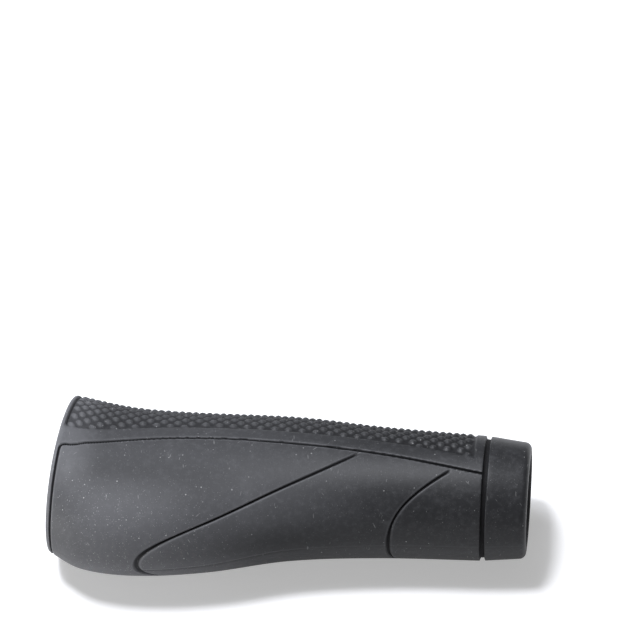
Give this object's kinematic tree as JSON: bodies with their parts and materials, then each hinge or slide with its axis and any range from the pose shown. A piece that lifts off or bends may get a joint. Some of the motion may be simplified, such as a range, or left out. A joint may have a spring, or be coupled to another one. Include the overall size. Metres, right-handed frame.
{
  "type": "handlebar grip",
  "caption": "Moulded rubber handlebar grip with a palm wing, a closed oval end, grooved panels, a band of small knobs round the front and a collar at the open end.",
  "frame": {"origin": "below the middle of the grip, on the surface that it lies on", "axes": "+X along the bar, from the closed end to the open one; +Y to the front, where the fingers close over the band of knobs; -Y to the palm wing; +Z to the upper panel side"},
  "size_m": [0.1308, 0.0544, 0.0346],
  "materials": {
    "rubber": "matt dark grey moulded rubber with a little light dust"
  },
  "bodies": {
    "root": {"grip": "rubber"}
  },
  "joints": []
}
